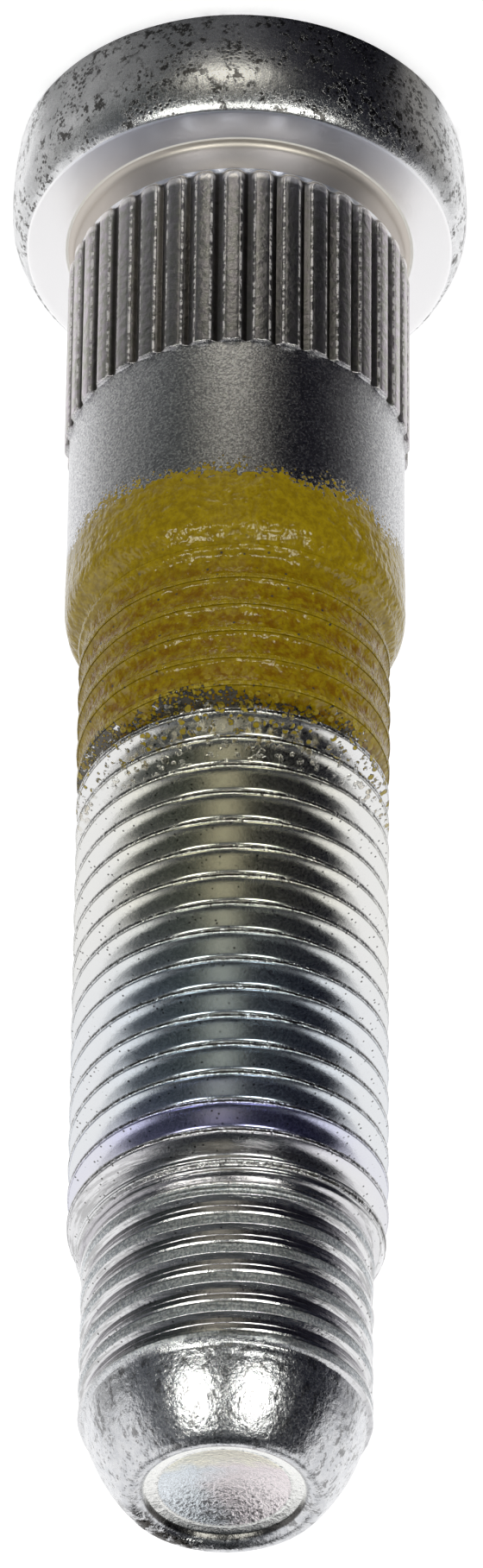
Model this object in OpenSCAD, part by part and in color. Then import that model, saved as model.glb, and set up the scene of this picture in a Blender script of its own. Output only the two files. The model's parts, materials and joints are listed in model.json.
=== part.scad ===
// Wheel stud: a cold headed and thread rolled press-in stud, made as one piece of steel.
// It stands on its head, with +Z along the axis towards the tip.
// The origin is the middle of the head's outer face, and all lengths are in millimetres.

/* [Head] */
// Widest diameter of the head, part of the way down its bulged side
head_d = 20.72; // [18:0.01:24]
// Thickness of the head, from its outer face to its bearing face
head_t = 5.7; // [3:0.1:8]
// Diameter of the edge round the bearing face
bearing_d = 19.4; // [17:0.1:20.5]
// Diameter of the head's side where it meets the outer corner
head_back_d = 20.3; // [17:0.1:20.7]
// Depth below the bearing face at which the side is widest
bulge_depth = 2.2; // [1:0.1:2.4]
// Radius of the corner round the outer face
head_corner_r = 0.6; // [0.2:0.1:1]

/* [Neck and serrations] */
// Diameter of the short neck under the head
neck_d = 15; // [13:0.01:15.3]
// Length of the neck, from the bearing face to the serrations
neck_len = 1.6; // [1:0.1:4]
// Radius of the fillet between the neck and the bearing face
neck_fillet_r = 0.45; // [0.1:0.05:0.8]
// Diameter over the crests of the serrations
serration_d = 15.46; // [15.3:0.01:16]
// Length of the serrated band
serration_len = 9.9; // [4:0.1:14]
// Number of serrations round the band
serration_count = 36; // [24:1:48]
// Depth of the V groove between two serrations
groove_depth = 0.26; // [0.1:0.01:0.4]
// Width of the V groove at the crests
groove_w = 0.66; // [0.2:0.01:0.9]
// Turn about the axis of the first groove
serration_turn = 2.2; // [0:0.1:10]
// Radius that rounds both ends of the serrated band
serration_end_r = 0.2; // [0.05:0.05:0.3]

/* [Plain shank and shoulder] */
// Diameter of the plain shank
shank_d = 15.04; // [14.2:0.01:15.2]
// Length of the plain shank, from the serrations to the shoulder
shank_len = 9.9; // [2:0.1:30]
// Length of the shoulder that falls from the shank to the thread
shoulder_len = 2.2; // [1.8:0.1:4]

/* [Thread] */
// Diameter over the thread crests of the finished M14 thread
thread_d = 13.7; // [13.5:0.01:14]
// Pitch of the right-hand thread
pitch = 1.5; // [1.25:0.25:2]
// Length of thread at full diameter, from the shoulder to the chamfer
thread_len = 31.6; // [10:0.1:60]
// Width of the flat on a thread crest
crest_w = 0.19; // [0.1:0.01:0.25]
// Length of the chamfer at the end of the full thread
chamfer_len = 2; // [1.5:0.1:4]
// Turn about the axis at which the thread starts
thread_start_turn = -90; // [-180:1:180]
// Height of a crest below the full thread's start, where it passes the start turn
start_crest_drop = 0.6; // [0:0.1:1.5]

/* [Pilot and nose] */
// Diameter of the pilot, which slips into the nut before the thread does
pilot_d = 12.4; // [12.1:0.01:12.6]
// Length of the pilot with its cut-down thread
pilot_len = 7.5; // [4:0.1:15]
// Length of the rounded nose past the pilot
nose_len = 3.5; // [2.5:0.1:5]
// Radius of the nose's long curve, seen from the side
nose_curve_r = 7.1; // [5:0.1:12]
// Radius of the corner between the nose and its end face
nose_corner_r = 0.5; // [0.2:0.1:0.8]

/* [Dimple] */
// Diameter of the bevel round the dimple
dimple_d = 6.8; // [4:0.1:7.2]
// Width of the bevel
dimple_bevel_w = 0.62; // [0.2:0.01:1]
// Depth of the bevel
dimple_bevel_t = 0.2; // [0.05:0.01:0.4]
// Depth of the dish inside the bevel
dish_depth = 0.55; // [0.2:0.01:0.8]

/* [Hidden] */
// Heights above the outer face of the head
bearing_z = head_t;
serration_z = bearing_z + neck_len;
shank_z = serration_z + serration_len;
shoulder_z = shank_z + shank_len;
thread_z = shoulder_z + shoulder_len;
chamfer_z = thread_z + thread_len;
pilot_z = chamfer_z + chamfer_len;
nose_z = pilot_z + pilot_len;
tip_z = nose_z + nose_len;

head_r = head_d / 2;
bearing_r = bearing_d / 2;
head_back_r = head_back_d / 2;
neck_r = neck_d / 2;
serration_r = serration_d / 2;
shank_r = shank_d / 2;
thread_r = thread_d / 2;
pilot_r = pilot_d / 2;
dimple_r = dimple_d / 2;
dish_r = dimple_r - dimple_bevel_w;
dish_floor_z = tip_z - dimple_bevel_t - dish_depth;

// The turned solids and the rolled thread overlap by these small steps, so that no two
// round faces lie on each other where they join
join_step = 0.02;
join_len = 0.5;
joint_z = shoulder_z + join_len;

// Depth of a rolled thread below its crests, as a share of its pitch
depth_share = 0.6134;
thread_depth = depth_share * pitch;
// Half of the angle between the two sides of a groove
flank_angle = 30;
flank_w = thread_depth * tan(flank_angle);
// Width of the groove's flat floor
root_w = pitch - crest_w - 2 * flank_w;
// The floor lies this much higher on the pilot than in the full thread
pilot_root_rise = 0.06;
pilot_root_r = thread_r - thread_depth + pilot_root_rise;
run_out_len = pitch;
steps = 36;
arc_steps = 8;

// Points on an arc about c, from angle a0 to angle a1
function arc(c, r, a0, a1, n = arc_steps) =
    [for (i = [0:n]) let (a = a0 + (a1 - a0) * i / n) c + r * [cos(a), sin(a)]];

// Radius of an arc that falls by drop over a length
function arc_r(length, drop) = (length * length + drop * drop) / (2 * drop);

// Side of the head, from the edge of the bearing face down to the edge of the outer face.
// The arcs stop a little short of their common ends, so that the outline has no double point.
arc_gap = 1;
corner_gap = 10;
bulge_z = bearing_z - bulge_depth;
front_r = arc_r(bulge_depth, head_r - bearing_r);
back_r = arc_r(bulge_z - head_corner_r, head_r - head_back_r);
head_side = concat(
    arc([head_r - front_r, bulge_z], front_r, asin(bulge_depth / front_r), 0),
    arc([head_r - back_r, bulge_z], back_r, -arc_gap, -asin((bulge_z - head_corner_r) / back_r)),
    arc([head_back_r - head_corner_r, head_corner_r], head_corner_r, -corner_gap, -90)
);

// Radius of the shoulder, which falls faster towards the thread
shoulder_power = 1.4;
function shoulder_r(z) =
    shank_r - (shank_r - thread_r) * pow(max(0, z - shoulder_z) / shoulder_len, shoulder_power);

// Outline of the head, neck, shank and start of the shoulder
shoulder_steps = 3;
body_outline = concat(
    [[0, 0], [0, joint_z]],
    [for (i = [shoulder_steps:-1:0])
        let (z = shoulder_z + join_len * i / shoulder_steps) [shoulder_r(z), z]],
    [[shank_r, serration_z], [neck_r, serration_z]],
    arc([neck_r + neck_fillet_r, bearing_z + neck_fillet_r], neck_fillet_r, 180, 270),
    head_side
);

// Outline of the nose, with the dimple in its end face. The nose starts a little inside the
// pilot's crests, on a curve that stands upright a little below its start.
nose_inset = 0.08;
nose_upright_drop = 0.6;
nose_top_r = pilot_r - nose_inset;
nose_c = [nose_top_r - nose_curve_r, nose_z - nose_upright_drop];
corner_reach = nose_curve_r - nose_corner_r;
corner_rise = tip_z - nose_corner_r - nose_c[1];
corner_turn = asin(corner_rise / corner_reach);
corner_c = nose_c + corner_reach * [cos(corner_turn), sin(corner_turn)];
dish_curve_r = arc_r(dish_r, dish_depth);
nose_outline = concat(
    [[0, nose_z]],
    arc(nose_c, nose_curve_r, asin((nose_z - nose_c[1]) / nose_curve_r), corner_turn),
    arc(corner_c, nose_corner_r, corner_turn + corner_gap, 90, 5),
    [[dimple_r, tip_z]],
    arc([0, dish_floor_z + dish_curve_r], dish_curve_r, -90 + asin(dish_r / dish_curve_r), -90)
);

// Past the pilot's end, the thread steps down and ends buried in the nose
pilot_end = nose_z - nose_upright_drop;
end_step_len = 0.15;
end_step_r = 0.1;
buried_len = 0.4;
buried_r = 0.6;
buried_tip_r = 1;

// Radius of the crests at a height: shoulder, full thread, chamfer, pilot and buried end
function crest_r(z) =
    z < joint_z + join_step ? shoulder_r(joint_z) - join_step :
    z < thread_z ? max(thread_r, shoulder_r(z) - join_step) :
    lookup(z, [
        [chamfer_z, thread_r],
        [pilot_z, pilot_r],
        [pilot_end, pilot_r],
        [pilot_end + end_step_len, nose_top_r - end_step_r],
        [nose_z + buried_len, nose_top_r - buried_r],
        [tip_z, nose_top_r - buried_tip_r]
    ]);

// Radius of the groove's floor, which runs out on the shoulder and before the nose
function root_r(z) =
    let (
        start = min(1, max(0, (z - thread_z + run_out_len) / run_out_len)),
        full = lookup(z, [[chamfer_z, thread_r - thread_depth], [pilot_z, pilot_root_r]]),
        stop = min(1, max(0, (pilot_end - z) / pitch)),
        share = min(start, stop)
    )
    crest_r(z) - share * max(0, crest_r(z) - full);

// The thread is one strip wound up the axis. Across it lie the two sides of a crest and
// the two sides of the groove above it, and its upper edge is its lower edge a turn later.
lanes = 4;
// Height of the crest in the middle of the strip where the strip starts
strip_z0 = thread_z - start_crest_drop - 2 * pitch;
// The strip ends this far above the start of the nose
strip_over = 0.9;
rows = floor((nose_z + strip_over - strip_z0) / pitch) * steps;

// Half the width of a crest, which grows where the thread is cut down to the pilot
least_flank_w = 0.06;
function crest_half(z) =
    min(
        crest_w / 2 + max(0, thread_r - crest_r(z)) * tan(flank_angle),
        (pitch - root_w) / 2 - least_flank_w
    );

// One point of the strip. Where the groove has run out, all four lanes lie on one surface.
function strip_point(row, lane) =
    let (
        a = thread_start_turn + 360 * row / steps,
        crest_z = strip_z0 + pitch * row / steps,
        half = crest_half(crest_z),
        z = crest_z + [-half, half, (pitch - root_w) / 2, (pitch + root_w) / 2][lane],
        r = lane < 2 ? crest_r(z) : root_r(z)
    )
    [r * cos(a), r * sin(a), z];

// Number of the point on a row and lane, where the lane past the last is the next turn's first
function point_at(row, lane) =
    lane < lanes ? row * lanes + lane : (row + steps) * lanes + lane - lanes;

// Solid with the rolled thread and its truncated run along the pilot
module rolled_thread() {
    points = concat(
        [for (row = [0:rows + steps]) for (lane = [0:lanes - 1]) strip_point(row, lane)],
        [[0, 0, strip_z0 + pitch / 2], [0, 0, strip_z0 + pitch * (rows / steps + 0.5)]]
    );
    low = len(points) - 2;
    high = len(points) - 1;
    sides = [
        for (row = [0:rows - 1]) for (lane = [0:lanes - 1]) for (half = [0, 1])
            half == 0
                ? [point_at(row, lane), point_at(row, lane + 1), point_at(row + 1, lane + 1)]
                : [point_at(row, lane), point_at(row + 1, lane + 1), point_at(row + 1, lane)]
    ];
    low_cap = [
        for (row = [0:steps - 1]) [low, point_at(row, 0), point_at(row + 1, 0)]
    ];
    low_step = [
        for (lane = [0:lanes - 1]) [low, point_at(0, lane + 1), point_at(0, lane)]
    ];
    high_cap = [
        for (row = [rows:rows + steps - 1]) [high, point_at(row + 1, 0), point_at(row, 0)]
    ];
    high_step = [
        for (lane = [0:lanes - 1]) [high, point_at(rows, lane), point_at(rows, lane + 1)]
    ];
    polyhedron(points, concat(sides, low_cap, low_step, high_cap, high_step), convexity = 10);
}

// Serrated band, rounded at both ends, whose grooves stop at the neck and the shank
module serrations() {
    r = serration_end_r;
    floor_r = serration_r - groove_depth;
    // The V reaches out past the crests
    reach = groove_w * 2;
    reach_half = groove_w * reach / groove_depth / 2;
    intersection() {
        translate([0, 0, serration_z])
            linear_extrude(serration_len)
                difference() {
                    circle(serration_r, $fn = 180);
                    for (i = [0:serration_count - 1])
                        rotate(serration_turn + i * 360 / serration_count)
                            polygon([
                                [floor_r, 0],
                                [floor_r + reach, reach_half],
                                [floor_r + reach, -reach_half]
                            ]);
                }
        rotate_extrude($fn = 180)
            polygon(concat(
                [[0, serration_z], [0, shank_z]],
                arc([serration_r - r, shank_z - r], r, 90, 0, 4),
                arc([serration_r - r, serration_z + r], r, 0, -90, 4)
            ));
    }
}

// The stud, complete
module wheel_stud() {
    color([0.66, 0.66, 0.68]) {
        rotate_extrude($fn = 180) polygon(body_outline);
        serrations();
        rolled_thread();
        rotate_extrude($fn = 180) polygon(nose_outline);
    }
}

wheel_stud();
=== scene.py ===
"""Wheel stud: the finish of a zinc plated, press-in stud with a rolled thread, in its studio."""

import json
import math
from types import SimpleNamespace

import bpy
import numpy as np
from bpy.props import FloatProperty, FloatVectorProperty, IntProperty, PointerProperty
from mathutils import Matrix, Vector, noise


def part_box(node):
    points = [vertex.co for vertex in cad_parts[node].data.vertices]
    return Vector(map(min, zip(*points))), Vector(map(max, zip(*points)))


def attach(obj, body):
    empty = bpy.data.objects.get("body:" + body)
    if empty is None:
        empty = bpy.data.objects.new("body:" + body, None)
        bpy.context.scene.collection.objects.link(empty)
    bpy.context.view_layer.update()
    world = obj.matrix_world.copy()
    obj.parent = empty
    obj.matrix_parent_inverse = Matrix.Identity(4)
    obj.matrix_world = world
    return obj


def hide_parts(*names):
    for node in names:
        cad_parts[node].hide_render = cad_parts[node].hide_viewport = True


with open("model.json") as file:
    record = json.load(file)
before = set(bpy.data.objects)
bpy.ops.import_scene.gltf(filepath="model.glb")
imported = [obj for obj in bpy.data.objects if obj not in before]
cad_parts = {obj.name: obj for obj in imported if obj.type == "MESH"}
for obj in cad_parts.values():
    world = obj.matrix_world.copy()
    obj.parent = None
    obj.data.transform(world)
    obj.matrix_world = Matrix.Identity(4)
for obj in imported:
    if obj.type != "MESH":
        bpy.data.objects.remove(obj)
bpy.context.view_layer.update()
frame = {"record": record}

bl_info = {
    "name": "Wheel Stud",
    "version": (1, 0, 0),
    "blender": (4, 5, 0),
    "location": "3D View > Sidebar > Wheel Stud",
    "description": "Builds the finished surface of a zinc plated wheel stud, and the studio round it",
    "category": "Add Mesh",
}

MM = 0.001
FULL_TURN = 2 * math.pi
NODE = "wheel_stud"
# The side of the stud that faces the camera, as an angle about +Z
FRONT = math.radians(-90)


def record_mount(name):
    """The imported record's mount of that name."""
    return next(m for m in frame["record"]["mounts"] if m["name"] == name)


NODE_LOW, NODE_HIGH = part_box(NODE)
STUD_LENGTH = NODE_HIGH[2] / MM
HEAD_DIAMETER = (NODE_HIGH[0] - NODE_LOW[0]) / MM
HEAD_THICKNESS = record_mount("bearing_face")["pos_m"][2] / MM
SERRATION_DIAMETER = 2 * record_mount("serrations")["dims"]["r_mm"]
THREAD_LENGTH = record_mount("thread")["dims"]["length_mm"]
THREAD_START = record_mount("thread")["pos_m"][2] / MM - THREAD_LENGTH / 2


def millimetres(name, description, default):
    """A length, given here in millimetres and kept in metres as Blender's lengths are."""
    return FloatProperty(
        name=name,
        description=description,
        default=default * MM,
        min=0,
        precision=5,
        subtype="DISTANCE",
        unit="LENGTH",
    )


def count(name, description, default):
    """A whole number of things."""
    return IntProperty(name=name, description=description, default=default, min=3)


def colour(name, description, default):
    """A surface colour, as the shader takes it."""
    return FloatVectorProperty(
        name=name, description=description, default=default, subtype="COLOR", size=3, min=0, max=1
    )


class StudSizes(bpy.types.PropertyGroup):
    """Sizes of the stud. Heights are from the head's outer face."""

    head_d: millimetres("Head", "Widest diameter of the head", HEAD_DIAMETER)
    head_t: millimetres("Head thickness", "From the outer face to the bearing face", HEAD_THICKNESS)
    bearing_d: millimetres("Bearing edge", "Diameter of the edge round the bearing face", 19.4)
    back_d: millimetres("Head back", "Diameter of the side above its outer corner", 20.3)
    corner_r: millimetres("Head corner", "Radius of the corner round the outer face", 0.6)
    bulge_depth: millimetres("Bulge depth", "Depth of the widest place below the bearing face", 2.2)
    neck_d: millimetres("Neck", "Diameter of the neck under the head", 15.0)
    neck_fillet: millimetres("Neck fillet", "Radius between neck and bearing face", 0.38)
    serration_d: millimetres("Serrations", "Diameter over the serrations", SERRATION_DIAMETER)
    serration_z: millimetres("Serration start", "Height at which the serrations start", 7.5)
    serration_len: millimetres("Serration length", "Length of the serrated band", 9.9)
    serrations: count("Serration count", "Ridges round the band", 36)
    groove_depth: millimetres("Serration groove", "Depth of the grooves", 0.26)
    shank_d: millimetres("Shank", "Diameter of the plain shank", 15.04)
    shoulder_z: millimetres("Shoulder", "Height at which the shank starts to fall", 27.1)
    thread_d: millimetres("Thread", "Diameter over the thread crests", 13.7)
    thread_z: millimetres("Thread start", "Height of the full thread's start", THREAD_START)
    thread_len: millimetres("Thread length", "Length of the full thread", THREAD_LENGTH)
    pitch: millimetres("Pitch", "Pitch of the right-hand thread", 1.5)
    chamfer_len: millimetres("Chamfer", "Length of the chamfer at the thread's end", 2.0)
    pilot_d: millimetres("Pilot", "Diameter of the pilot", 12.4)
    nose_z: millimetres("Nose", "Height at which the pilot meets the nose", 70.4)
    nose_curve: millimetres("Nose curve", "Radius of the nose's long curve", 8.07)
    end_rim: millimetres("End rim", "Radius of the round rim between nose and dimple", 0.55)
    length: millimetres("Length", "Length of the stud, without the rise of its end rim", STUD_LENGTH)
    dimple_d: millimetres("Dimple", "Diameter of the bevel round the dimple", 6.8)
    dimple_bevel: millimetres("Dimple bevel", "Width of the bevel", 0.62)
    bevel_depth: millimetres("Bevel depth", "Depth of the bevel", 0.2)
    dish_depth: millimetres("Dish", "Depth of the dish inside the bevel", 0.55)
    coat_low: millimetres("Coat start", "Height at which the ochre coat starts", 24.3)
    coat_high: millimetres("Coat end", "Height at which the ochre coat thins out", 36.2)
    coat_fill: millimetres("Coat fill", "Diameter to which the coat fills the thread", 13.3)
    turn_points: count("Points a turn", "Points round one turn of thread", 96)
    ring_points: count("Points a ring", "Points round a plain ring", 144)


class StudFinish(bpy.types.PropertyGroup):
    """Colours of the plated steel and of the coat on the thread's start."""

    zinc: colour("Zinc", "Plated steel", (0.8, 0.8, 0.81))
    zinc_warm: colour("Warm zinc", "Plating with a cream tint", (0.82, 0.81, 0.72))
    zinc_blue: colour("Blue zinc", "Plating with a blue tint", (0.72, 0.78, 0.84))
    zinc_violet: colour("Violet zinc", "Plating with a violet tint", (0.6, 0.6, 0.88))
    zinc_rose: colour("Rose zinc", "Plating with a rose tint", (0.79, 0.78, 0.81))
    # This colour is also painted as shade in the serrations' grooves and under the dimple's rim
    pit_and_shade: colour("Pits", "Dark specks, seams and scratches", (0.06, 0.055, 0.05))
    coat: colour("Coat", "Ochre coat on the first threads", (0.4, 0.285, 0.004))
    coat_dark: colour("Dark coat", "Thin or dirty places of the coat", (0.2, 0.12, 0.002))
    coat_brown: colour("Brown coat", "The coat where it lies deep in the grooves", (0.21, 0.088, 0.002))
    coat_drop: colour("Coat drops", "Drops splashed past the coat's end", (0.5, 0.38, 0.03))
    grime: colour("Grime", "Dirt at the coat's end", (0.05, 0.04, 0.02))


def in_millimetres(sizes):
    """The stud's sizes as plain numbers: counts as they are, and lengths in millimetres."""
    values = {name: getattr(sizes, name) for name in StudSizes.__annotations__}
    return SimpleNamespace(**{name: v if isinstance(v, int) else v / MM for name, v in values.items()})


# Geometry. From here on, lengths and places are in millimetres.


# How far the first serration right of the camera lies from the front
SERRATION_TURN = math.radians(2.2)
# Share of a serration's width that its crest takes
CREST_SHARE = 0.52
# Radius of the corners at a serration's ends, and how far its edges are rounded off
SERRATION_CORNER = 0.25
SERRATION_ROUND = 0.04
# The nose's curve starts this far inside the pilot, and stands upright this far below its start
NOSE_INSET = 0.04
NOSE_DROP = 1.54
# How far the nose's curve turns inwards before it meets the round rim, in degrees
NOSE_TURN = 39.5
# The thread: half the crest's width, depth as a share of the pitch, and rounds at crest and root
CREST_HALF = 0.095
THREAD_DEPTH = 0.6134
FLANK_SLOPE = math.tan(math.radians(60))
CREST_ROUND = 0.09
ROOT_ROUND = 0.05
# Height of a crest below the full thread's start, where it passes the front
CREST_DROP = 0.6
# Lanes of the thread's strip, as shares of the pitch from the middle of the crest
STRIP = (
    [-0.5, -0.45, -0.44, -0.43, -0.27, -0.16, -0.12, -0.09, -0.066, -0.03, 0.0, 0.02, 0.03, 0.055, 0.07]
    + [0.09, 0.12, 0.15, 0.17, 0.2, 0.24, 0.34, 0.385, 0.41, 0.43]
)
# The truncated thread on the pilot: lane, and height over the pilot. From the left it has a
# bright rolled lip, a rough land, a steep smooth slope and a floor.
PILOT_RELIEF = (
    [(-0.5, 0.02), (-0.44, -0.027), (-0.43, -0.027), (-0.09, -0.04), (0.03, -0.24)]
    + [(0.41, -0.245), (0.43, -0.2), (0.5, 0.02)]
)
RELIEF_LANES, RELIEF_HEIGHTS = zip(*PILOT_RELIEF)


def smooth(x):
    """Smooth step of a number or array clipped to 0..1."""
    x = np.clip(x, 0, 1)
    return x * x * (3 - 2 * x)


def arc(centre, radius, start, end, steps):
    """Points on an arc in the outline's plane, with angles in degrees."""
    angles = np.radians(np.linspace(start, end, steps + 1))
    return [(centre[0] + radius * math.cos(a), centre[1] + radius * math.sin(a)) for a in angles]


def arc_radius(length, drop):
    """Radius of an arc that falls by drop over a length."""
    return (length * length + drop * drop) / (2 * drop)


def uneven(x, y, z, scale, amount):
    """Smooth random unevenness at a place, the same in every run."""
    return amount * noise.noise(Vector((x * scale, y * scale, z * scale)))


def softly(a, b, width):
    """The larger of two lengths, with a round between them. The smaller if the width is negative."""
    return (a + b + math.copysign(math.hypot(a - b, width), width)) / 2


class Skin:
    """Collects the rings of one closed surface, from the bottom up."""

    def __init__(self):
        self.points = []
        self.faces = []

    def add(self, angle, radius, z):
        """One point on the surface. Returns its number."""
        self.points.append((radius * math.cos(angle) * MM, radius * math.sin(angle) * MM, z * MM))
        return len(self.points) - 1

    def ring(self, angles, radii, z):
        """One closed level ring of points, with its angles."""
        radii = np.broadcast_to(radii, angles.shape)
        return [self.add(a, r, z) for a, r in zip(angles, radii)], angles

    def join(self, low, high):
        """Faces between two rings, matched by angle if they differ. Returns the higher ring."""
        (low_ids, low_angles), (high_ids, high_angles) = low, high
        low_n, high_n = len(low_ids), len(high_ids)
        if low_n == high_n:
            for i in range(low_n):
                k = (i + 1) % low_n
                self.faces.append((low_ids[i], low_ids[k], high_ids[k], high_ids[i]))
            return high
        i = j = 0
        while i < low_n or j < high_n:
            low_next = low_angles[i + 1] if i + 1 < low_n else low_angles[0] + FULL_TURN
            high_next = high_angles[j + 1] if j + 1 < high_n else high_angles[0] + FULL_TURN
            if j >= high_n or (i < low_n and low_next <= high_next):
                self.faces.append((low_ids[i], low_ids[(i + 1) % low_n], high_ids[j % high_n]))
                i += 1
            else:
                self.faces.append((low_ids[i % low_n], high_ids[(j + 1) % high_n], high_ids[j]))
                j += 1
        return high

    def join_lines(self, lines):
        """Faces between upright lines side by side, all with the same number of points."""
        for left, right in zip(lines, lines[1:]):
            for k in range(len(left) - 1):
                self.faces.append((left[k], right[k], right[k + 1], left[k + 1]))

    def zip_lines(self, left, right):
        """Faces between two upright lines of any numbers of points, matched by height."""

        def height(line, k):
            return self.points[line[k]][2] if k < len(line) else math.inf

        i = j = 0
        while i + 1 < len(left) or j + 1 < len(right):
            if height(left, i + 1) <= height(right, j + 1):
                self.faces.append((left[i], right[j], left[i + 1]))
                i += 1
            else:
                self.faces.append((left[i], right[j], right[j + 1]))
                j += 1

    def cap(self, ring, z, up):
        """Closes a ring with a fan to the axis."""
        ids, _ = ring
        centre = self.add(0, 0, z)
        for i in range(len(ids)):
            k = (i + 1) % len(ids)
            self.faces.append((ids[i], ids[k], centre) if up else (ids[k], ids[i], centre))

    def mesh(self, name):
        """The surface as a Blender mesh."""
        data = bpy.data.meshes.new(name)
        data.from_pydata(self.points, [], self.faces)
        data.validate()
        data.update()
        return data


def head_outline(s):
    """Outline of the head and neck from the outer face's rim upwards, as (radius, height)."""
    top = s.head_t
    widest = top - s.bulge_depth
    front_r = arc_radius(s.bulge_depth, (s.head_d - s.bearing_d) / 2)
    back_r = arc_radius(widest - s.corner_r, (s.head_d - s.back_d) / 2)
    front_end = math.degrees(math.asin(s.bulge_depth / front_r))
    back_end = math.degrees(math.asin((widest - s.corner_r) / back_r))
    edge_r = 0.12
    corner = (s.back_d / 2 - s.corner_r, s.corner_r)
    edge = (s.bearing_d / 2 - edge_r * 1.2, top - edge_r)
    fillet = (s.neck_d / 2 + s.neck_fillet, top + s.neck_fillet)
    return (
        arc(corner, s.corner_r, -90, -8, 7)
        + arc((s.head_d / 2 - back_r, widest), back_r, -back_end, -0.6, 7)
        + arc((s.head_d / 2 - front_r, widest), front_r, 0, front_end - 3, 9)
        + arc(edge, edge_r, 35, 90, 3)
        + [(r, top) for r in (9.3, 8.9, 8.5, 8.1)]
        + arc(fillet, s.neck_fillet, 270, 180, 6)
    )


def serration_radius(s, angles, z):
    """Radius of the serrated band at these angles and this height."""
    crest = s.serration_d / 2
    ridge = FULL_TURN / s.serrations
    low, high = s.serration_z, s.serration_z + s.serration_len
    # How far inside the nearer end this is. The end at the shank is four times as steep.
    end = min(z - low, (high - z) * 4)
    across = np.abs((angles - FRONT - SERRATION_TURN) / ridge % 1.0 - 0.5)
    across = (0.5 - across) * ridge * crest
    half = CREST_SHARE / 2 * ridge * crest
    dx, dz = across - half + SERRATION_CORNER, SERRATION_CORNER - end
    outside = np.where((dx > 0) & (dz > 0), np.hypot(dx, dz), np.maximum(dx, dz)) - SERRATION_CORNER
    slope = s.groove_depth / (ridge * crest / 2 - half)
    rounded = SERRATION_ROUND * smooth(1 + outside / 0.1)
    fall = np.where(outside > 0, SERRATION_ROUND + outside * slope, rounded)
    base = s.neck_d / 2 if z < (low + high) / 2 else s.shank_d / 2
    floor = crest - s.groove_depth if end > 0 else base
    return np.maximum(crest - fall, floor)


def nose_radius(s, z):
    """Radius of the nose's long curve at these heights."""
    top = s.pilot_d / 2 - NOSE_INSET
    rise = np.maximum(0, z - (s.nose_z - NOSE_DROP))
    return top - s.nose_curve + np.sqrt(np.maximum(0, s.nose_curve**2 - rise**2))


def crest_radius(s, z):
    """Radius of the thread's crests at these heights, from the shank to the nose."""
    shank, thread, pilot = s.shank_d / 2, s.thread_d / 2, s.pilot_d / 2
    fall = np.clip((z - s.shoulder_z) / (s.thread_z - s.shoulder_z), 0, 1) ** 1.4
    shoulder = shank - (shank - thread) * fall
    chamfer_z = s.thread_z + s.thread_len
    chamfer = thread - (thread - pilot) * smooth((z - chamfer_z + 0.3) / (s.chamfer_len + 0.3))
    edge = smooth((z - s.nose_z + 0.07) / 0.14)
    return np.where(z < s.thread_z, shoulder, chamfer * (1 - edge) + nose_radius(s, z) * edge)


def thread_radius(s, z, lane):
    """Radius at a height whose place across the thread is a lane of the strip."""
    crest = float(crest_radius(s, z))
    top = s.thread_d / 2
    flank = top - (abs(lane) * s.pitch - CREST_HALF) * FLANK_SLOPE
    full = softly(flank, top, -CREST_ROUND) if lane > -0.05 else min(flank, top)
    root = top - THREAD_DEPTH * s.pitch
    full = softly(full, root, ROOT_ROUND) if lane > 0 else max(full, root)
    # The grooves deepen over the shoulder, and give way to the pilot's relief on the chamfer
    start = float(smooth((z - s.thread_z + s.pitch * 1.1) / (s.pitch * 1.2)))
    threaded = crest - start * max(0, crest - full)
    chamfer_z = s.thread_z + s.thread_len
    cut_down = float(smooth((z - chamfer_z - 0.3) / (s.chamfer_len - 0.3)))
    stop = float(smooth((s.nose_z - 0.1 - z) / 0.4))
    relief = float(np.interp(lane, RELIEF_LANES, RELIEF_HEIGHTS))
    return threaded * (1 - cut_down) + (crest + relief * stop) * cut_down


def coated_radius(s, z, angle, radius):
    """Radius over the coat, which fills the grooves and thins out at both ends."""
    place = Vector((math.cos(angle), math.sin(angle), 0))
    wave = 0.6 * noise.noise(place * 3 + Vector((0, 0, 5)))
    share = smooth((z - s.thread_z + 1.5) / 1.5) * smooth((s.coat_high + 0.9 + wave - z) / 1.4)
    filled = s.coat_fill / 2 + 0.1 * noise.noise(place * 9 + Vector((0, 0, z * 1.7)))
    over = softly(filled - radius, 0, 0.1)
    skin = 0.03 * smooth((z - s.coat_low) / 1.5) * smooth((s.coat_high - z) / 1.5)
    lumps = 0.035 * noise.noise(place * 16 + Vector((0, 0, z * 2.3)))
    return radius + over * float(share) * 0.9 + float(skin) * (1 + 25 * lumps)


def first_crest(s):
    """Height of the middle of the strip at its start."""
    return s.thread_z - CREST_DROP - s.pitch


def strip_turns(s):
    """Whole turns of the strip, which ends just past the start of the nose."""
    return math.ceil((s.nose_z - first_crest(s)) / s.pitch)


def surface_point(skin, s, angle, z, lane):
    """One point on the thread, the coat or the smooth metal just past the thread's ends."""
    radius = float(crest_radius(s, z)) if lane is None else thread_radius(s, z, lane)
    if z < s.coat_high + 2:
        radius = coated_radius(s, z, angle, radius)
    x, y = math.cos(angle) * radius, math.sin(angle) * radius
    radius += uneven(x, y, z, 1.6, 0.006)
    # Nicks in the crests of the full thread
    if lane is not None and abs(lane) < 0.07 and z < s.thread_z + s.thread_len:
        radius -= 0.12 * max(0, noise.noise(Vector((x * 1.9, y * 1.9, z * 1.1))) - 0.42)
    # Burrs where the pilot meets the nose
    burr = math.exp(-(((z - s.nose_z - 0.2) / 0.3) ** 2))
    radius += uneven(x, y, z, 2.4, 0.045) * burr
    return skin.add(angle, radius, z)


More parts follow.
